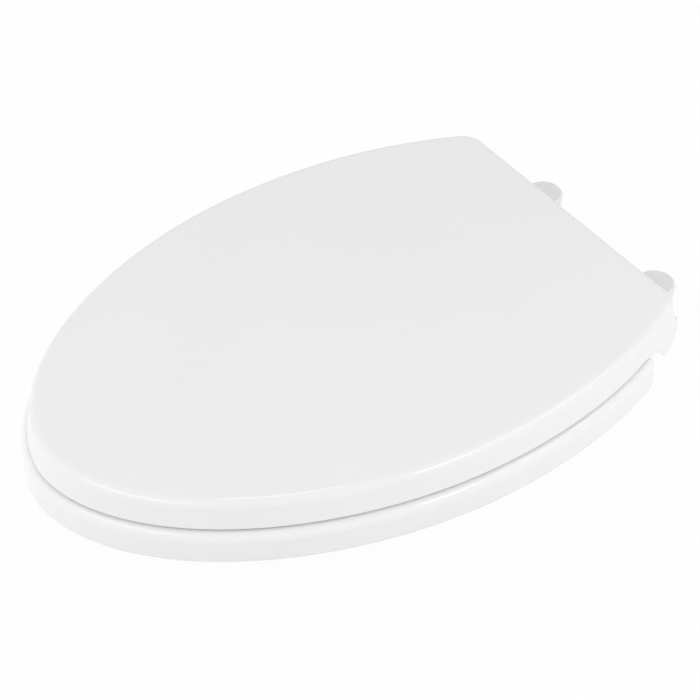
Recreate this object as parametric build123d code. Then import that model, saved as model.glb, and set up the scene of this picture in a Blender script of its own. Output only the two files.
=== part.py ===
# Toilet seat with a closing lid: closed-front ring, moulded lid and two damped hinges.
# Millimetres, +Z up, front towards -Y, origin midway between the bolt holes on the bowl's rim.
from build123d import *
from math import cos, sin, tan, radians
import os

# Fixing to the bowl
bolt_spacing = 140.0
bolt_hole_radius = 4.3
foot_radius = 15.2
foot_height = 7.5
foot_floor = 4.0
bolt_recess_radius = 10.5
spigot_wall = 1.2
pad_thickness = 1.5
pad_inset = 0.8
pad_hole_clearance = 0.3
cap_radius = 15.7
cap_height = 6.5
cap_edge_radius = 2.2
cap_skin = 2.0
cap_plug_wall = 2.0
cap_plug_depth = 2.5
cap_plug_clearance = 0.15

# Hinge axis, posts, pins and bushes
axis_reach = 47.0
axis_z = 25.5
hub_radius = 10.0
hub_length = 32.0
tongue_width = 24.0
riser_front = 8.0
riser_back = 6.0
post_fillet = 3.0
pin_radius = 5.0
pin_hub_depth = 20.0
pin_lobe_depth = 6.0
bush_wall = 2.0
bush_flange = 1.0
bush_flange_radius = 9.0
lid_bush_length = 6.5
running_clearance = 0.05
fixed_clearance = 0.02
side_clearance = 0.4
blind_clearance = 0.5

# Plan outline shared by lid and ring
half_width = 170.0
front_length = 273.6
front_power = 1.88
rear_length = 193.0
rear_half_width = 125.6
rear_power = 2.22

# Lid
lid_back = 13.5
lid_top = 57.0
lid_rim = 36.0
lid_wall = 3.5
lid_slope = 12.0
lid_corner_slope = 7.5
lid_rear_slope = 5.0
lid_corner_radius = 20.0
lid_rim_corner_radius = 9.0
lid_edge_radius = 7.0
lobe_radius = 13.5
lobe_set_back = 5.8
lobe_drop = 2.2
lobe_flank = 48.0
lobe_back_lean = 20.0
lobe_fillet = 30.0
lobe_margin = 3.0
lobe_inset = 3.8
lid_boss_radius = 11.0

# Ring
bumper_height = 8.0
ring_top = 33.4
ring_overhang = 10.2
ring_rear_overhang = 8.5
ring_draft = 0.8
ring_end_reach = 25.0
ring_bar_reach = 33.0
ring_corner_radius = 8.0
ring_outer_edge = 7.0
ring_inner_edge = 8.0
ring_low_edge = 2.0
ring_wall = 4.0
ring_ledge = 2.5
ring_skin = 4.0
plate_thickness = 3.0
plate_clearance = 0.3
side_band = 73.0
front_band = 72.0
rear_band = 68.0
opening_set_forward = 46.0
knuckle_radius = 10.5
arm_root_low = 3.0
arm_root_high = 3.4

# Rotary dampers
damper_radius = 8.0
damper_wall = 1.5
damper_length = 25.0
damper_cap = 2.0
damper_shaft_radius = 4.0
damper_shaft_depth = 8.0
damper_flat = 2.6
damper_gap = 1.0
damper_end_wall = 2.0

# Bumpers under the ring and under the lid
bumper_length = 34.0
bumper_width = 15.0
bumper_edge_radius = 2.0
stem_radius = 3.0
stem_length = 5.0
stem_clearance = 0.1
bumper_front_angle = 22.0
bumper_front_turn = 24.0
bumper_rear_depth = 78.0
bumper_rear_turn = 96.0
lid_pad_radius = 6.0
lid_pad_height = 4.0
lid_pad_gap = 0.2
lid_pad_front_angle = 36.0
lid_pad_rear_depth = 26.0
lid_pad_boss_radius = 8.0

# Places that follow from the sizes above
axis_y = -axis_reach
rear_edge_y = axis_y + lid_back
middle_y = rear_edge_y - rear_length
lobe_y = axis_y + lobe_set_back
lobe_z = axis_z - lobe_drop
lobe_plan_y = lobe_y + lobe_radius + lobe_margin
outline_depth = lobe_plan_y + lobe_margin - middle_y
ring_rear_y = axis_y - ring_end_reach
ring_bar_y = axis_y - ring_bar_reach
ring_low = bumper_height
plate_top = ring_low + plate_thickness
tongue_top = pad_thickness + foot_floor
foot_top = pad_thickness + foot_height
foot_x = bolt_spacing / 2
hub_inner_x = foot_x - tongue_width / 2
hub_outer_x = hub_inner_x + hub_length
lobe_inner_x = rear_half_width - lobe_inset
arm_inner_x = hub_outer_x + side_clearance + bush_flange
arm_outer_x = lobe_inner_x - side_clearance - bush_flange
pin_start_x = hub_outer_x - pin_hub_depth
pin_end_x = lobe_inner_x + pin_lobe_depth
bush_radius = pin_radius + bush_wall
bush_bore = pin_radius + running_clearance
damper_cap_x = hub_inner_x - damper_gap
barrel_outer_x = damper_cap_x - damper_cap
barrel_inner_x = barrel_outer_x - damper_length
damper_knuckle_x = barrel_inner_x - damper_end_wall
shaft_end_x = hub_inner_x + damper_shaft_depth
opening_half_width = half_width + ring_overhang - side_band
opening_middle_y = middle_y - opening_set_forward
opening_front = front_length + ring_overhang - front_band - opening_set_forward
opening_rear = ring_bar_y - rear_band - opening_middle_y


# Point of the shared outline on its front curve, at an angle from the front tip
def front_point(grow, angle):
    across = sin(radians(angle)) ** (2 / front_power) * (half_width + grow)
    along = cos(radians(angle)) ** (2 / front_power) * (front_length + grow)
    return across, middle_y - along


# Point of the shared outline behind its widest place
def rear_point(grow, rear_grow, depth):
    taper = half_width + grow - rear_half_width - rear_grow
    return half_width + grow - taper * (depth / rear_length) ** rear_power, middle_y + depth


# Plan face of the outline, grown by grow in front and rear_grow behind, cut straight at end_y
def plan_face(grow, rear_grow, end_y, corner):
    half = [front_point(grow, angle) for angle in (0, 12, 28, 45, 62, 78, 90)]
    half += [rear_point(grow, rear_grow, outline_depth * share) for share in (0.25, 0.5, 0.75, 1.0)]
    curve = Spline([(-x, y) for x, y in half[:0:-1]] + half)
    face = make_face([curve, Line(curve @ 1, curve @ 0)])
    reach = 2 * (front_length + rear_length)
    face &= Pos(0, end_y - reach / 2) * Rectangle(reach, reach)
    return fillet(face.vertices(), corner)


# Oval opening of the ring, grown by grow all round
def opening_face(grow):
    width = opening_half_width + grow
    half_plane = Rectangle(4 * width, 2 * opening_front)
    front = Ellipse(width, opening_front + grow) & Pos(0, -opening_front) * half_plane
    rear = Ellipse(width, opening_rear + grow) & Pos(0, opening_front) * half_plane
    return Pos(0, opening_middle_y) * (front + rear)


# Middle of the ring's band, at an angle from the front tip or a depth behind the widest place
def front_band_point(angle):
    x, y = front_point(ring_overhang, angle)
    inner_x = opening_half_width * sin(radians(angle))
    inner_y = opening_middle_y - opening_front * cos(radians(angle))
    return (x + inner_x) / 2, (y + inner_y) / 2


def rear_band_point(depth):
    x, y = rear_point(ring_overhang, ring_rear_overhang, depth)
    return (x + opening_half_width) / 2, y


# Round bar along X about the hinge axis
def axis_bar(radius, start_x, end_x):
    return Pos(start_x, axis_y, axis_z) * extrude(Plane.YZ * Circle(radius), end_x - start_x)


# Face across X at start_x, and a block along X from it, with corners given as (y, z)
def x_face(corners, start_x):
    return make_face(Polyline(*[(start_x, y, z) for y, z in corners], close=True))


def x_block(corners, start_x, end_x):
    return extrude(x_face(corners, start_x), end_x - start_x, dir=(1, 0, 0))


# Mirror image on the other side of the seat
def other_side(solid):
    return mirror(solid, about=Plane.YZ)


# Both a solid and its mirror image
def both_sides(solid):
    return solid + other_side(solid)


# Lid's plan at a height, drawn in by inset: towards the rim its sides slope out and its corners get sharper
def lid_section(z, inset):
    drop = lid_top - z
    grow = drop * tan(radians(lid_slope)) - inset
    rear_grow = drop * tan(radians(lid_corner_slope)) - inset
    end_y = rear_edge_y + drop * tan(radians(lid_rear_slope)) - inset
    sharpening = (lid_corner_radius - lid_rim_corner_radius) * drop / (lid_top - lid_rim)
    return Pos(0, 0, z) * plan_face(grow, rear_grow, end_y, lid_corner_radius - sharpening - inset)


# Lid: sloped sides and a rounded top edge that starts tangent to them
edge_sections = []
edge_start = lid_top - lid_edge_radius * (1 - sin(radians(lid_slope)))
edge_middle = (lid_top - edge_start) * tan(radians(lid_slope)) - lid_edge_radius * cos(radians(lid_slope))
for angle in (lid_slope, 38, 64, 90):
    z = lid_top - lid_edge_radius * (1 - sin(radians(angle)))
    reach = edge_middle + lid_edge_radius * cos(radians(angle))
    edge_sections.append(lid_section(z, (lid_top - z) * tan(radians(lid_slope)) - reach))
lid_body = loft([lid_section(lid_rim, 0), edge_sections[0]], ruled=True) + loft(edge_sections)

# Lid: lobe down each rear end, its sloped flank running into the rim in a wide curve
lobe_low = lobe_z - lobe_radius
flank_y = lobe_y - lobe_radius * sin(radians(lobe_flank))
flank_z = lobe_z - lobe_radius * cos(radians(lobe_flank))
flank_top_y = flank_y - (lid_rim - flank_z) / tan(radians(lobe_flank))
rim_drop = lid_top - lid_rim
rim_rear_y = rear_edge_y + rim_drop * tan(radians(lid_rear_slope))
flank = [
    (flank_top_y - lobe_fillet, lid_rim),
    (flank_top_y, lid_rim),
    (flank_y, flank_z),
    (lobe_y, lobe_z),
    (lobe_y + lobe_radius * cos(radians(lobe_back_lean)), lobe_z + lobe_radius * sin(radians(lobe_back_lean))),
    (rim_rear_y, lid_rim),
    (rim_rear_y, lid_top),
    (flank_top_y - lobe_fillet, lid_top),
]
flank_face = x_face(flank, lobe_inner_x)
flank_corner = flank_face.vertices().sort_by_distance((lobe_inner_x, flank_top_y, lid_rim))[0]
flank_face = fillet(flank_corner, lobe_fillet)
lobe_round = Pos(0, lobe_set_back, -lobe_drop) * axis_bar(lobe_radius, lobe_inner_x, half_width)
lobe_grow = rim_drop * tan(radians(lid_slope))
lobe_rear_grow = rim_drop * tan(radians(lid_corner_slope))
lobe_plan = plan_face(lobe_grow, lobe_rear_grow, lobe_plan_y, lobe_margin)
prism_low = lobe_low - lobe_margin
outer_prism = Pos(0, 0, prism_low) * extrude(lobe_plan, lid_rim - prism_low)
inner_prism = Pos(0, 0, prism_low - lid_rim) * extrude(lid_section(lid_rim, lid_wall), lid_rim - prism_low)
lobe = (extrude(flank_face, half_width - lobe_inner_x, dir=(1, 0, 0)) + lobe_round) & outer_prism
lid = lid_body + both_sides(lobe)

# Lid: hollow, leaving a boss in each lobe
lid_ceiling = lid_top - lid_wall
web_top = lid_ceiling + lid_wall / 2
web_rear_y = rear_edge_y - lid_wall / 2
boss_web = [
    (lobe_y - lobe_radius, lobe_z),
    (lobe_y - lobe_radius, web_top),
    (web_rear_y, web_top),
    (web_rear_y, lid_rim),
    (lobe_y + lobe_radius, lobe_z),
]
boss = x_block(boss_web, lobe_inner_x, half_width) + lobe_round
lid_hollow = loft([lid_section(lid_rim, lid_wall), lid_section(lid_ceiling, lid_wall)], ruled=True)
lid -= lid_hollow + inner_prism - both_sides(boss)

# Lid: knuckle for its damper on the left, hung from the ceiling
knuckle_web = [
    (axis_y - lid_boss_radius, axis_z),
    (axis_y - lid_boss_radius, web_top),
    (web_rear_y, web_top),
    (web_rear_y, lid_rim),
    (axis_y + lid_boss_radius, axis_z),
]
lid_knuckle = x_block(knuckle_web, damper_knuckle_x, damper_cap_x)
lid_knuckle += axis_bar(lid_boss_radius, damper_knuckle_x, damper_cap_x)
lid += other_side(lid_knuckle)
lid -= other_side(axis_bar(damper_radius + fixed_clearance, barrel_inner_x, damper_cap_x))

# Lid: bosses for its bumpers and bores for its bushes
pad_seat = ring_top + lid_pad_gap + lid_pad_height
lid_pad_places = [front_band_point(lid_pad_front_angle), rear_band_point(lid_pad_rear_depth)]
pad_bosses = []
pad_holes = []
for x, y in lid_pad_places:
    boss = Pos(x, y, pad_seat) * extrude(Circle(lid_pad_boss_radius), web_top - pad_seat)
    hole = Pos(x, y, pad_seat) * extrude(Circle(stem_radius + stem_clearance), stem_length + blind_clearance)
    pad_bosses += [boss, other_side(boss)]
    pad_holes += [hole, other_side(hole)]
lid += pad_bosses
lid -= pad_holes
bore_end_x = lobe_inner_x + lid_bush_length + blind_clearance
lid -= both_sides(axis_bar(bush_radius + fixed_clearance, lobe_inner_x, bore_end_x))


# Ring's plan at a height, drawn in by inset
def ring_section(z, inset):
    draft = ring_draft * (z - ring_low) / (ring_top - ring_low) + inset
    grow = ring_overhang - draft
    rear_grow = ring_rear_overhang - draft
    return Pos(0, 0, z) * plan_face(grow, rear_grow, ring_rear_y - inset, ring_corner_radius - inset)


# Ring: body with rounded edges and the oval opening
low_sections = []
top_sections = []
for angle in (90, 45, 0):
    low_z = ring_low + ring_low_edge * (1 - sin(radians(angle)))
    low_sections.append(ring_section(low_z, ring_low_edge * (1 - cos(radians(angle)))))
for angle in (0, 30, 60, 90):
    top_z = ring_top - ring_outer_edge * (1 - sin(radians(angle)))
    top_sections.append(ring_section(top_z, ring_outer_edge * (1 - cos(radians(angle)))))
ring = loft(low_sections) + loft([low_sections[-1], top_sections[0]], ruled=True) + loft(top_sections)
ring -= extrude(opening_face(0), ring_top + 1)
ring = fillet(ring.faces().sort_by(Axis.Z)[-1].inner_wires()[0].edges(), ring_inner_edge)

# Ring: step back at the hinge posts, then arms to the hinge axis, one of them for the damper on the right
step_length = 2 * (ring_rear_y - ring_bar_y)
step = Pos(0, ring_bar_y + step_length / 2, ring_top) * Box(2 * lobe_inner_x, step_length, 2 * ring_top)
ring -= step
arm_web = [
    (ring_bar_y - ring_wall / 2, ring_low + arm_root_low),
    (ring_bar_y - ring_wall / 2, ring_top - arm_root_high),
    (axis_y, axis_z + knuckle_radius),
    (axis_y, axis_z - knuckle_radius),
]
arm = x_block(arm_web, arm_inner_x, arm_outer_x) + axis_bar(knuckle_radius, arm_inner_x, arm_outer_x)
damper_arm = x_block(arm_web, damper_knuckle_x, damper_cap_x)
damper_arm += axis_bar(knuckle_radius, damper_knuckle_x, damper_cap_x)
ring += [arm, other_side(arm), damper_arm]
ring -= both_sides(axis_bar(bush_radius + fixed_clearance, arm_inner_x, arm_outer_x))
ring -= axis_bar(damper_radius + fixed_clearance, barrel_inner_x, damper_cap_x)


# Plan of the ring's underside drawn in by inset, behind the opening as far as the bar
def ring_floor(inset):
    end_y = ring_bar_y - inset
    outside = plan_face(ring_overhang - inset, ring_rear_overhang - inset, end_y, ring_corner_radius)
    return outside - opening_face(inset)


# Ring: hollow underside with a ledge for the plate that closes it
ring -= extrude(Pos(0, 0, ring_low) * ring_floor(ring_wall), plate_thickness)
ring -= extrude(Pos(0, 0, plate_top) * ring_floor(ring_wall + ring_ledge), ring_top - ring_skin - plate_top)

# Plate that closes the ring, with a hole for each bumper stem
bumper_front = front_band_point(bumper_front_angle)
bumper_rear = rear_band_point(bumper_rear_depth)
ring_plate = extrude(Pos(0, 0, ring_low) * ring_floor(ring_wall + plate_clearance), plate_thickness)
for x, y in (bumper_front, bumper_rear):
    hole = Pos(x, y, ring_low) * extrude(Circle(stem_radius + stem_clearance), plate_thickness)
    ring_plate -= [hole, other_side(hole)]


# Rubber bumper under the ring with its stem pushed through the plate
def ring_bumper(place, turn):
    block = extrude(SlotOverall(bumper_length, bumper_width), bumper_height)
    block = fillet(block.faces().sort_by(Axis.Z)[0].edges(), bumper_edge_radius)
    stem = Pos(0, 0, bumper_height) * extrude(Circle(stem_radius), stem_length)
    return Pos(place[0], place[1], 0) * Rot(0, 0, turn) * (block + stem)


# Rubber pad under the lid with its stem pushed into the boss
def lid_bumper(place):
    block = extrude(Circle(lid_pad_radius), lid_pad_height)
    block = fillet(block.faces().sort_by(Axis.Z)[0].edges(), lid_pad_height / 3)
    stem = Pos(0, 0, lid_pad_height) * extrude(Circle(stem_radius), stem_length)
    return Pos(place[0], place[1], pad_seat - lid_pad_height) * (block + stem)


# Plan of a post: round foot with a tongue forward to below the hinge axis
def foot_plan(inset):
    tongue_length = riser_front - axis_y - inset
    tongue = Pos(foot_x, -tongue_length / 2) * Rectangle(tongue_width - 2 * inset, tongue_length)
    return Pos(foot_x, 0) * Circle(foot_radius - inset) + tongue


# Hinge post: foot, tongue, riser and hub
post = extrude(Pos(0, 0, pad_thickness) * foot_plan(0), foot_floor)
post += Pos(foot_x, 0, pad_thickness) * extrude(Circle(foot_radius), foot_height)
riser = [
    (axis_y - riser_front, pad_thickness),
    (axis_y - riser_front, axis_z),
    (axis_y + riser_back, axis_z),
    (axis_y + riser_back, pad_thickness),
]
post += x_block(riser, hub_inner_x, foot_x + tongue_width / 2)
post += axis_bar(hub_radius, hub_inner_x, hub_outer_x)
riser_foot = post.edges().filter_by(Axis.X).filter_by_position(Axis.Z, tongue_top - 0.01, tongue_top + 0.01)
post = fillet(riser_foot.group_by(Axis.Y)[-1], post_fillet)
spigot_radius = bolt_hole_radius + spigot_wall
post += Pos(foot_x, 0, 0) * extrude(Circle(spigot_radius), pad_thickness)
post -= Pos(foot_x, 0, tongue_top) * extrude(Circle(bolt_recess_radius), foot_height)
post -= Pos(foot_x, 0, 0) * extrude(Circle(bolt_hole_radius), foot_top)
post -= axis_bar(pin_radius + fixed_clearance, pin_start_x, hub_outer_x)
shaft_hole = axis_bar(damper_shaft_radius + fixed_clearance, hub_inner_x, shaft_end_x)
flat_cut_low = axis_z + damper_flat
flat_cut = [
    (axis_y - hub_radius, flat_cut_low),
    (axis_y - hub_radius, axis_z + hub_radius),
    (axis_y + hub_radius, axis_z + hub_radius),
    (axis_y + hub_radius, flat_cut_low),
]
post -= shaft_hole - Pos(0, 0, fixed_clearance) * x_block(flat_cut, hub_inner_x, shaft_end_x)

# Rubber pad under the post
pad = extrude(foot_plan(pad_inset), pad_thickness)
pad -= Pos(foot_x, 0, 0) * extrude(Circle(spigot_radius + pad_hole_clearance), pad_thickness)

# Cap over the bolt, plugged into the foot
cap = extrude(Circle(cap_radius), cap_height)
cap = fillet(cap.faces().sort_by(Axis.Z)[-1].edges(), cap_edge_radius)
plug_radius = bolt_recess_radius - cap_plug_clearance
cap += Pos(0, 0, -cap_plug_depth) * extrude(Circle(plug_radius), cap_plug_depth)
cap_hollow = cap_plug_depth + cap_height - cap_skin
cap -= Pos(0, 0, -cap_plug_depth) * extrude(Circle(plug_radius - cap_plug_wall), cap_hollow)
cap = Pos(foot_x, 0, foot_top) * cap

# Pin fixed in the hub, and flanged bushes of ring and lid that turn on it
pin = axis_bar(pin_radius, pin_start_x, pin_end_x)
pin = chamfer(pin.faces().sort_by(Axis.X)[-1].edges(), pin_radius / 8)
ring_bush = axis_bar(bush_radius, arm_inner_x, arm_outer_x)
ring_bush += axis_bar(bush_flange_radius, arm_inner_x - bush_flange, arm_inner_x)
ring_bush -= axis_bar(bush_bore, arm_inner_x - bush_flange, arm_outer_x)
lid_bush = axis_bar(bush_radius, lobe_inner_x, lobe_inner_x + lid_bush_length)
lid_bush += axis_bar(bush_flange_radius, lobe_inner_x - bush_flange, lobe_inner_x)
lid_bush -= axis_bar(bush_bore, lobe_inner_x - bush_flange, lobe_inner_x + lid_bush_length)

# Rotary damper: barrel keyed into the knuckle, end cap, and rotor whose flatted shaft sits in the hub
barrel = axis_bar(damper_radius, barrel_inner_x, barrel_outer_x)
barrel -= axis_bar(damper_radius - damper_wall, barrel_inner_x + damper_wall, barrel_outer_x)
end_cap = axis_bar(damper_radius, barrel_outer_x, damper_cap_x)
end_cap -= axis_bar(damper_shaft_radius + running_clearance, barrel_outer_x, damper_cap_x)
drum_radius = damper_radius - damper_wall - running_clearance
rotor = axis_bar(drum_radius, barrel_inner_x + damper_wall + side_clearance, barrel_outer_x - side_clearance)
rotor += axis_bar(damper_shaft_radius, barrel_outer_x - side_clearance, shaft_end_x)
rotor -= x_block(flat_cut, hub_inner_x, shaft_end_x)

nodes = {
    "lid": lid,
    "seat_ring": ring,
    "ring_base_plate": ring_plate,
    "hinge_post_left": other_side(post),
    "hinge_post_right": post,
    "post_cap_left": other_side(cap),
    "post_cap_right": cap,
    "foot_pad_left": other_side(pad),
    "foot_pad_right": pad,
    "hinge_pin_left": other_side(pin),
    "hinge_pin_right": pin,
    "ring_bush_left": other_side(ring_bush),
    "ring_bush_right": ring_bush,
    "lid_bush_left": other_side(lid_bush),
    "lid_bush_right": lid_bush,
    "lid_damper_barrel": other_side(barrel),
    "lid_damper_end_cap": other_side(end_cap),
    "lid_damper_rotor": other_side(rotor),
    "seat_damper_barrel": barrel,
    "seat_damper_end_cap": end_cap,
    "seat_damper_rotor": rotor,
    "ring_bumper_front_left": other_side(ring_bumper(bumper_front, bumper_front_turn)),
    "ring_bumper_front_right": ring_bumper(bumper_front, bumper_front_turn),
    "ring_bumper_rear_left": other_side(ring_bumper(bumper_rear, bumper_rear_turn)),
    "ring_bumper_rear_right": ring_bumper(bumper_rear, bumper_rear_turn),
    "lid_bumper_front_left": other_side(lid_bumper(lid_pad_places[0])),
    "lid_bumper_front_right": lid_bumper(lid_pad_places[0]),
    "lid_bumper_rear_left": other_side(lid_bumper(lid_pad_places[1])),
    "lid_bumper_rear_right": lid_bumper(lid_pad_places[1]),
}

os.makedirs("parts", exist_ok=True)
for name, solid in nodes.items():
    export_step(solid, f"parts/{name}.step")
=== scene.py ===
import math

import bmesh
import bpy
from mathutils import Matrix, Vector

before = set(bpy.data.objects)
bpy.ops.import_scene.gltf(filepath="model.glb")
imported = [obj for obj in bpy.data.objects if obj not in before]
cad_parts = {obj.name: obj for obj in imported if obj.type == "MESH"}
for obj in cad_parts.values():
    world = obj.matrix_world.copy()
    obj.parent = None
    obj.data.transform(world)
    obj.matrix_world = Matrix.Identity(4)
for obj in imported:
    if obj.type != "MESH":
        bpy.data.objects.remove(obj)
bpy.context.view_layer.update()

bl_info = {
    "name": "Toilet Seat Finishes",
    "version": (1, 0, 0),
    "blender": (4, 5, 0),
    "location": "View3D > Sidebar > Toilet Seat",
    "description": "Dresses a packed toilet seat in plastic, rubber and steel, and sets up its studio",
    "category": "Object",
}

LID_NODES = ["lid"]
RING_NODES = ["seat_ring", "ring_base_plate"]
POST_NODES = ["hinge_post_left", "hinge_post_right", "post_cap_left", "post_cap_right"]
PIN_NODES = ["hinge_pin_left", "hinge_pin_right"]
BUSH_NODES = ["ring_bush_left", "ring_bush_right", "lid_bush_left", "lid_bush_right"]
DAMPER_NODES = ["lid_damper_barrel", "lid_damper_end_cap", "seat_damper_barrel", "seat_damper_end_cap"]
ROTOR_NODES = ["lid_damper_rotor", "seat_damper_rotor"]
RUBBER_NODES = [
    "foot_pad_left", "foot_pad_right",
    "ring_bumper_front_left", "ring_bumper_front_right",
    "ring_bumper_rear_left", "ring_bumper_rear_right",
    "lid_bumper_front_left", "lid_bumper_front_right",
    "lid_bumper_rear_left", "lid_bumper_rear_right",
]

# Polished mouldings: their shine, and the widths of the clouds, wipe marks and ripple in it
GLOSS_ROUGHNESS = 0.12
CLOUD_MM = 90
WIPE_MM = 14
RIPPLE_MM = 5
RIPPLE_DEPTH_MM = 0.04
# Grained mouldings: the width of the flow marks in their colour
FLOW_MM = 12
# Rubber: its shine, and the width and depth of its specks
RUBBER_ROUGHNESS = (0.58, 0.72)
SPECK_MM = 0.9
SPECK_DEPTH_MM = 0.05
# Ground steel: its shine, and the spacing, depth and drawing out of the rings round a pin
STEEL_ROUGHNESS = (0.22, 0.36)
GRINDING_MM = 0.4
GRINDING_DEPTH_MM = 0.01
GRINDING_STRETCH = 0.02
# Share by which a moulding's roughness varies to either side
ROUGHNESS_SPREAD = 0.15
# Values that most of a noise pattern lies between
NOISE_LOW = 0.3
NOISE_HIGH = 0.7

WHITE = (1, 1, 1, 1)
FLOOR_GREY = (0.85, 0.85, 0.85, 1)
SENSOR_WIDTH_MM = 36
# Middle of the seat in metres, which the softboxes face
LIGHT_TARGET = (0, -0.25, 0.03)


# Linear colour of an sRGB hex value
def linear_colour(hex_value):
    shares = [int(hex_value[place:place + 2], 16) / 255 for place in (1, 3, 5)]
    return tuple(
        share / 12.92 if share <= 0.04045 else ((share + 0.055) / 1.055) ** 2.4 for share in shares)


# Noise scale whose features are about this many millimetres across
def scale_of(millimetres):
    return 1000 / millimetres


# Roughness a little under and a little over a moulding's own
def spread_of(roughness):
    return roughness * (1 - ROUGHNESS_SPREAD), roughness * (1 + ROUGHNESS_SPREAD)


# One node with its settings, socket values and incoming links
def add_node(tree, kind, values=None, links=None, **settings):
    node = tree.nodes.new(kind)
    for name, value in settings.items():
        setattr(node, name, value)
    for socket, value in (values or {}).items():
        node.inputs[socket].default_value = value
    for socket, source in (links or {}).items():
        tree.links.new(source, node.inputs[socket])
    return node


# Emptied node tree of a material or a world
def empty_tree(owner):
    owner.use_nodes = True
    owner.node_tree.nodes.clear()
    return owner.node_tree


# New material with its shader, output and Object coordinates
def start_material(name, **shader_values):
    material = bpy.data.materials.new(name)
    tree = empty_tree(material)
    values = {socket.replace("_", " "): value for socket, value in shader_values.items()}
    shader = add_node(tree, "ShaderNodeBsdfPrincipled", values)
    add_node(tree, "ShaderNodeOutputMaterial", links={"Surface": shader.outputs["BSDF"]})
    place = add_node(tree, "ShaderNodeTexCoord").outputs["Object"]
    return material, tree, shader, place


# Joins noise patterns to a shader: tone mixes its two colours, wear moves its roughness between
# two values, and relief raises its surface. The mix node's sockets go by number, as names repeat
def join_patterns(tree, shader, deep, pale, tone, roughness, wear, depth_mm, strength, relief):
    tint = add_node(
        tree, "ShaderNodeMix", {6: (*deep, 1), 7: (*pale, 1)}, {0: tone.outputs["Fac"]},
        data_type="RGBA")
    smoothest, roughest = roughness
    polish = add_node(
        tree, "ShaderNodeMapRange",
        {"From Min": NOISE_LOW, "From Max": NOISE_HIGH, "To Min": smoothest, "To Max": roughest},
        {"Value": wear.outputs["Fac"]})
    bump = add_node(
        tree, "ShaderNodeBump", {"Strength": strength, "Distance": depth_mm / 1000},
        {"Height": relief.outputs["Fac"]})
    tree.links.new(tint.outputs[2], shader.inputs["Base Color"])
    tree.links.new(polish.outputs["Result"], shader.inputs["Roughness"])
    tree.links.new(bump.outputs["Normal"], shader.inputs["Normal"])


# Gives a material to CAD nodes through their own slots
def dress(nodes, material):
    for name in nodes:
        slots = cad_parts[name].material_slots
        if not slots:
            raise RuntimeError(f"{name} has no material slot")
        for slot in slots:
            slot.material = material


# Gloss white thermoset, compression moulded against a polished tool: a hard even shine,
# a very slight ripple in what it mirrors, and a white that hardly varies
def gloss_plastic(name, pale, deep):
    material, tree, shader, place = start_material(name, IOR=1.5)
    cloud = add_node(
        tree, "ShaderNodeTexNoise", {"Scale": scale_of(CLOUD_MM), "Detail": 3.0}, {"Vector": place})
    wipe = add_node(
        tree, "ShaderNodeTexNoise", {"Scale": scale_of(WIPE_MM), "Detail": 5.0, "Roughness": 0.6},
        {"Vector": place})
    ripple = add_node(
        tree, "ShaderNodeTexNoise", {"Scale": scale_of(RIPPLE_MM), "Detail": 1.0}, {"Vector": place})
    join_patterns(
        tree, shader, deep, pale, tone=cloud, roughness=spread_of(GLOSS_ROUGHNESS), wear=wipe,
        depth_mm=RIPPLE_DEPTH_MM, strength=0.25, relief=ripple)
    return material


# Semi-gloss or matt engineering plastic, injection moulded: fine spark-eroded grain breaks up its
# shine. The grain is drawn 0.5 to 0.8 mm wide, coarser than the real one, so that it shows
def grained_plastic(name, pale, deep, roughness, grain_mm, grain_depth_mm, ior):
    material, tree, shader, place = start_material(name, IOR=ior)
    flow = add_node(
        tree, "ShaderNodeTexNoise", {"Scale": scale_of(FLOW_MM), "Detail": 4.0}, {"Vector": place})
    grain = add_node(
        tree, "ShaderNodeTexNoise", {"Scale": scale_of(grain_mm), "Detail": 2.0}, {"Vector": place})
    join_patterns(
        tree, shader, deep, pale, tone=flow, roughness=spread_of(roughness), wear=grain,
        depth_mm=grain_depth_mm, strength=0.4, relief=grain)
    return material


# Milky soft rubber, moulded: dull, and a little light goes into it. Its dust-fine specks are
# drawn about 0.9 mm wide, so that they show
def soft_rubber(name, pale, deep):
    material, tree, shader, place = start_material(
        name, IOR=1.45, Subsurface_Weight=0.15, Subsurface_Scale=0.002)
    speck = add_node(
        tree, "ShaderNodeTexNoise", {"Scale": scale_of(SPECK_MM), "Detail": 3.0, "Roughness": 0.7},
        {"Vector": place})
    join_patterns(
        tree, shader, deep, pale, tone=speck, roughness=RUBBER_ROUGHNESS, wear=speck,
        depth_mm=SPECK_DEPTH_MM, strength=0.3, relief=speck)
    return material


# Stainless steel bar, centreless ground: fine rings round the pin, a soft bright streak along it.
# The rings are drawn about 0.4 mm apart, coarser than real grinding, so that they show
def ground_steel(name, pale, deep):
    material, tree, shader, place = start_material(name, Metallic=1.0)
    squeeze = add_node(
        tree, "ShaderNodeMapping", {"Scale": (1.0, GRINDING_STRETCH, GRINDING_STRETCH)},
        {"Vector": place})
    rings = add_node(
        tree, "ShaderNodeTexNoise", {"Scale": scale_of(GRINDING_MM), "Detail": 2.0},
        {"Vector": squeeze.outputs["Vector"]})
    join_patterns(
        tree, shader, deep, pale, tone=rings, roughness=STEEL_ROUGHNESS, wear=rings,
        depth_mm=GRINDING_DEPTH_MM, strength=0.2, relief=rings)
    return material


# One for camera, glossy and transmitted rays, which see plain white, and zero for all others
def seen_white(tree):
    path = add_node(tree, "ShaderNodeLightPath")
    bright = add_node(
        tree, "ShaderNodeMath",
        links={0: path.outputs["Is Camera Ray"], 1: path.outputs["Is Glossy Ray"]},
        operation="MAXIMUM")
    return add_node(
        tree, "ShaderNodeMath",
        links={0: bright.outputs[0], 1: path.outputs["Is Transmission Ray"]},
        operation="MAXIMUM").outputs[0]


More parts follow.
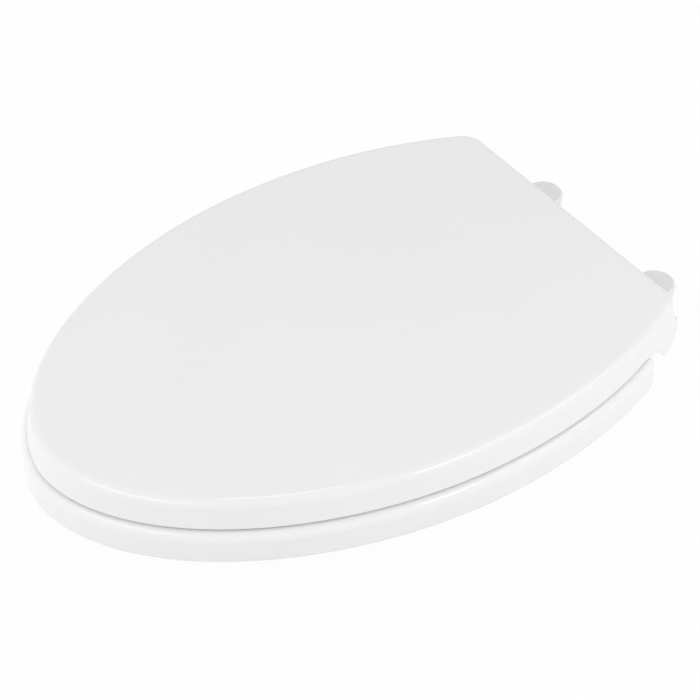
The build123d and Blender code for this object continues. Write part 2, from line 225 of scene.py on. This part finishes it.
# Puts an item into the scene at a turn to the right from the seat's front, a rise above the
# horizon and a distance from a target, and faces it to that target
def place_facing(item, target, turn, rise, distance):
    back = Vector((math.sin(turn) * math.cos(rise), -math.cos(turn) * math.cos(rise), math.sin(rise)))
    item.location = Vector(target) + back * distance
    item.rotation_mode = "QUATERNION"
    item.rotation_quaternion = (-back).to_track_quat("-Z", "Y")
    bpy.context.scene.collection.objects.link(item)


class SeatColours(bpy.types.PropertyGroup):
    """Colours of the seat's materials"""
    lid_pale: bpy.props.FloatVectorProperty(
        name="Lid", description="White of the lid", subtype="COLOR",
        default=linear_colour("#EFEFEF"))
    lid_deep: bpy.props.FloatVectorProperty(
        name="Lid, deeper", description="Slightly deeper white that clouds the lid", subtype="COLOR",
        default=linear_colour("#ECECEC"))
    ring_pale: bpy.props.FloatVectorProperty(
        name="Ring", description="White of the ring", subtype="COLOR",
        default=linear_colour("#F1F1F1"))
    ring_deep: bpy.props.FloatVectorProperty(
        name="Ring, deeper", description="Slightly deeper white that clouds the ring", subtype="COLOR",
        default=linear_colour("#EEEEEE"))
    hinge_pale: bpy.props.FloatVectorProperty(
        name="Hinge", description="White of the posts and caps", subtype="COLOR",
        default=linear_colour("#EEEEEE"))
    hinge_deep: bpy.props.FloatVectorProperty(
        name="Hinge, deeper", description="Deeper white of the posts and caps", subtype="COLOR",
        default=linear_colour("#E9E9E9"))
    rubber_pale: bpy.props.FloatVectorProperty(
        name="Rubber", description="Pale tone of the bumpers and pads", subtype="COLOR",
        default=linear_colour("#DEDEDB"))
    rubber_deep: bpy.props.FloatVectorProperty(
        name="Rubber, deeper", description="Deeper tone of the bumpers and pads", subtype="COLOR",
        default=linear_colour("#D2D2CE"))
    bush_pale: bpy.props.FloatVectorProperty(
        name="Bush", description="Natural tone of the bearing plastic", subtype="COLOR",
        default=linear_colour("#E6E5DF"))
    bush_deep: bpy.props.FloatVectorProperty(
        name="Bush, deeper", description="Deeper tone of the bearing plastic", subtype="COLOR",
        default=linear_colour("#DDDCD4"))
    damper_pale: bpy.props.FloatVectorProperty(
        name="Damper", description="Pale tone of the dampers' dark grey", subtype="COLOR",
        default=linear_colour("#4B4C4E"))
    damper_deep: bpy.props.FloatVectorProperty(
        name="Damper, deeper", description="Deep tone of the dampers' dark grey", subtype="COLOR",
        default=linear_colour("#3E3F41"))
    steel_pale: bpy.props.FloatVectorProperty(
        name="Steel", description="Bright tone of the pins", subtype="COLOR",
        default=linear_colour("#C9C9C8"))
    steel_deep: bpy.props.FloatVectorProperty(
        name="Steel, deeper", description="Deep tone of the pins", subtype="COLOR",
        default=linear_colour("#B5B5B4"))


class SeatStudio(bpy.types.PropertyGroup):
    """Camera, light and floor of the studio"""
    camera_azimuth: bpy.props.FloatProperty(
        name="Azimuth", description="Camera's turn round the seat from its front",
        default=math.radians(55.27), subtype="ANGLE", unit="ROTATION")
    camera_elevation: bpy.props.FloatProperty(
        name="Elevation", description="Camera's height above the horizon",
        default=math.radians(42.84), subtype="ANGLE", unit="ROTATION")
    camera_distance: bpy.props.FloatProperty(
        name="Distance", description="Camera's distance from its target", default=1.4824, unit="LENGTH")
    camera_target: bpy.props.FloatVectorProperty(
        name="Target", description="Point that the camera looks at", default=(0, -0.241, 0.008),
        unit="LENGTH")
    camera_lens: bpy.props.FloatProperty(
        name="Lens", description="Focal length on a 36 mm sensor", default=100.2, unit="CAMERA")
    camera_shift: bpy.props.FloatVectorProperty(
        name="Shift", description="Sideways and upward shift of the picture", size=2,
        default=(-0.00536, 0.01122))
    sky_strength: bpy.props.FloatProperty(
        name="Sky", description="Even light from all round", default=0.53, min=0)
    front_power: bpy.props.FloatProperty(
        name="Front light", description="Power of the softbox in front", default=4.2, min=0,
        unit="POWER")
    fill_power: bpy.props.FloatProperty(
        name="Front fill", description="Power of the low, broad softbox in front", default=8.8, min=0,
        unit="POWER")
    right_power: bpy.props.FloatProperty(
        name="Right light", description="Power of the small softbox on the right", default=2.4, min=0,
        unit="POWER")
    low_power: bpy.props.FloatProperty(
        name="Low light", description="Power of the low softbox on the right", default=9.3, min=0,
        unit="POWER")
    rear_power: bpy.props.FloatProperty(
        name="Rear light", description="Power of the softbox behind on the right", default=3, min=0,
        unit="POWER")
    left_power: bpy.props.FloatProperty(
        name="Left light", description="Power of the softbox on the left", default=6.8, min=0,
        unit="POWER")
    far_power: bpy.props.FloatProperty(
        name="Far light", description="Power of the small softbox high on the far side", default=0.6,
        min=0, unit="POWER")
    floor_size: bpy.props.FloatProperty(
        name="Floor", description="Length of the floor's sides", default=12, min=2, unit="LENGTH")
    floor_glow: bpy.props.FloatProperty(
        name="Floor glow", description="Share of plain white in the floor that the camera sees",
        default=0.96, min=0, max=1, subtype="FACTOR")


class SEAT_OT_dress_lid(bpy.types.Operator):
    """Give the lid its gloss white plastic"""
    bl_idname = "seat.dress_lid"
    bl_label = "Dress Lid"

    def execute(self, context):
        colours = context.scene.seat_colours
        dress(LID_NODES, gloss_plastic(
            "moulded_thermoset_gloss_white_lid", colours.lid_pale, colours.lid_deep))
        return {"FINISHED"}


class SEAT_OT_dress_ring(bpy.types.Operator):
    """Give the ring and its base plate their gloss white plastic"""
    bl_idname = "seat.dress_ring"
    bl_label = "Dress Ring"

    def execute(self, context):
        colours = context.scene.seat_colours
        dress(RING_NODES, gloss_plastic(
            "moulded_thermoset_gloss_white_ring", colours.ring_pale, colours.ring_deep))
        return {"FINISHED"}


class SEAT_OT_dress_hinges(bpy.types.Operator):
    """Give the posts, caps, pins, bushes and damper rotors their plastics and steel"""
    bl_idname = "seat.dress_hinges"
    bl_label = "Dress Hinges"

    def execute(self, context):
        colours = context.scene.seat_colours
        dress(POST_NODES, grained_plastic(
            "moulded_abs_semi_gloss_white", colours.hinge_pale, colours.hinge_deep,
            roughness=0.32, grain_mm=0.8, grain_depth_mm=0.02, ior=1.52))
        dress(PIN_NODES, ground_steel(
            "ground_stainless_steel", colours.steel_pale, colours.steel_deep))
        dress(BUSH_NODES + ROTOR_NODES, grained_plastic(
            "moulded_acetal_natural", colours.bush_pale, colours.bush_deep,
            roughness=0.42, grain_mm=0.6, grain_depth_mm=0.02, ior=1.48))
        return {"FINISHED"}


class SEAT_OT_dress_dampers(bpy.types.Operator):
    """Give the damper barrels and end caps their dark plastic"""
    bl_idname = "seat.dress_dampers"
    bl_label = "Dress Dampers"

    def execute(self, context):
        colours = context.scene.seat_colours
        dress(DAMPER_NODES, grained_plastic(
            "moulded_filled_nylon_dark_grey", colours.damper_pale, colours.damper_deep,
            roughness=0.48, grain_mm=0.5, grain_depth_mm=0.03, ior=1.53))
        return {"FINISHED"}


class SEAT_OT_dress_rubber(bpy.types.Operator):
    """Give the bumpers and the pads under the posts their rubber"""
    bl_idname = "seat.dress_rubber"
    bl_label = "Dress Rubber"

    def execute(self, context):
        colours = context.scene.seat_colours
        dress(RUBBER_NODES, soft_rubber(
            "moulded_rubber_milky_white", colours.rubber_pale, colours.rubber_deep))
        return {"FINISHED"}


class SEAT_OT_set_stage(bpy.types.Operator):
    """Set up the floor, sky, lights and camera"""
    bl_idname = "seat.set_stage"
    bl_label = "Set Stage"

    # Plain white floor that keeps a faint shadow
    def make_floor(self, studio):
        shape = bmesh.new()
        bmesh.ops.create_grid(shape, x_segments=1, y_segments=1, size=studio.floor_size / 2)
        mesh = bpy.data.meshes.new("studio_floor")
        shape.to_mesh(mesh)
        shape.free()
        floor = bpy.data.objects.new("studio_floor", mesh)
        bpy.context.scene.collection.objects.link(floor)
        material = bpy.data.materials.new("matt_white_studio_floor")
        tree = empty_tree(material)
        matt = add_node(tree, "ShaderNodeBsdfDiffuse", {"Color": FLOOR_GREY})
        glow = add_node(tree, "ShaderNodeEmission", {"Color": WHITE, "Strength": 1.0})
        share = add_node(
            tree, "ShaderNodeMath", {1: studio.floor_glow}, {0: seen_white(tree)},
            operation="MULTIPLY")
        mixed = add_node(
            tree, "ShaderNodeMixShader",
            links={0: share.outputs[0], 1: matt.outputs[0], 2: glow.outputs[0]})
        add_node(tree, "ShaderNodeOutputMaterial", links={"Surface": mixed.outputs[0]})
        mesh.materials.append(material)

    # Sky all round that looks plain white and lights the seat with its own strength
    def make_sky(self, studio):
        world = bpy.data.worlds.new("white_studio")
        bpy.context.scene.world = world
        tree = empty_tree(world)
        strength = add_node(
            tree, "ShaderNodeMix", {2: studio.sky_strength, 3: 1.0}, {0: seen_white(tree)},
            data_type="FLOAT")
        sky = add_node(
            tree, "ShaderNodeBackground", {"Color": WHITE}, {"Strength": strength.outputs[0]})
        add_node(tree, "ShaderNodeOutputWorld", links={"Surface": sky.outputs[0]})

    # Softbox that shines on the seat's middle, placed as the camera is, in degrees and metres
    def add_softbox(self, name, power, turn, rise, distance, width, height, in_shine=True):
        lamp = bpy.data.lights.new(name, "AREA")
        lamp.shape = "RECTANGLE"
        lamp.size = width
        lamp.size_y = height
        lamp.energy = power
        box = bpy.data.objects.new(name, lamp)
        box.visible_camera = False
        box.visible_glossy = in_shine
        place_facing(box, LIGHT_TARGET, math.radians(turn), math.radians(rise), distance)

    # Camera at the photograph's angle
    def add_camera(self, studio):
        lens = bpy.data.cameras.new("studio_camera")
        lens.sensor_width = SENSOR_WIDTH_MM
        lens.lens = studio.camera_lens
        lens.shift_x, lens.shift_y = studio.camera_shift
        camera = bpy.data.objects.new("studio_camera", lens)
        place_facing(
            camera, studio.camera_target, studio.camera_azimuth, studio.camera_elevation,
            studio.camera_distance)
        bpy.context.scene.camera = camera

    def execute(self, context):
        studio = context.scene.seat_studio
        context.scene.view_settings.view_transform = "Standard"
        self.make_floor(studio)
        self.make_sky(studio)
        self.add_softbox(
            "front_softbox", studio.front_power, turn=11, rise=43, distance=1.9,
            width=1.3, height=0.4)
        self.add_softbox(
            "right_softbox", studio.right_power, turn=106, rise=41, distance=1.8,
            width=0.36, height=0.2)
        self.add_softbox(
            "rear_softbox", studio.rear_power, turn=140, rise=44, distance=1.8,
            width=1.0, height=0.6)
        self.add_softbox(
            "far_softbox", studio.far_power, turn=240, rise=74, distance=1.56,
            width=0.3, height=0.25)
        # The broad fills stay out of the shine, where they would blot out the lid from behind
        self.add_softbox(
            "fill_softbox", studio.fill_power, turn=-8, rise=20, distance=1.9,
            width=2.4, height=1.25, in_shine=False)
        self.add_softbox(
            "low_softbox", studio.low_power, turn=122, rise=23, distance=1.7,
            width=2.4, height=1.3, in_shine=False)
        self.add_softbox(
            "left_softbox", studio.left_power, turn=-57, rise=29, distance=1.8,
            width=2.4, height=1.4, in_shine=False)
        self.add_camera(studio)
        return {"FINISHED"}


class SEAT_PT_finishes(bpy.types.Panel):
    """Lists the steps that dress the seat"""
    bl_idname = "SEAT_PT_finishes"
    bl_label = "Toilet Seat"
    bl_space_type = "VIEW_3D"
    bl_region_type = "UI"
    bl_category = "Toilet Seat"

    def draw(self, context):
        for step in STEPS:
            self.layout.operator(step.bl_idname)


STEPS = [
    SEAT_OT_dress_lid,
    SEAT_OT_dress_ring,
    SEAT_OT_dress_hinges,
    SEAT_OT_dress_dampers,
    SEAT_OT_dress_rubber,
    SEAT_OT_set_stage,
]
CLASSES = [SeatColours, SeatStudio, *STEPS, SEAT_PT_finishes]


def register():
    for item in CLASSES:
        bpy.utils.register_class(item)
    bpy.types.Scene.seat_colours = bpy.props.PointerProperty(type=SeatColours)
    bpy.types.Scene.seat_studio = bpy.props.PointerProperty(type=SeatStudio)


def unregister():
    del bpy.types.Scene.seat_studio
    del bpy.types.Scene.seat_colours
    for item in reversed(CLASSES):
        bpy.utils.unregister_class(item)


def main():
    register()
    bpy.ops.seat.dress_lid()
    bpy.ops.seat.dress_ring()
    bpy.ops.seat.dress_hinges()
    bpy.ops.seat.dress_dampers()
    bpy.ops.seat.dress_rubber()
    bpy.ops.seat.set_stage()


if __name__ == "__main__":
    main()
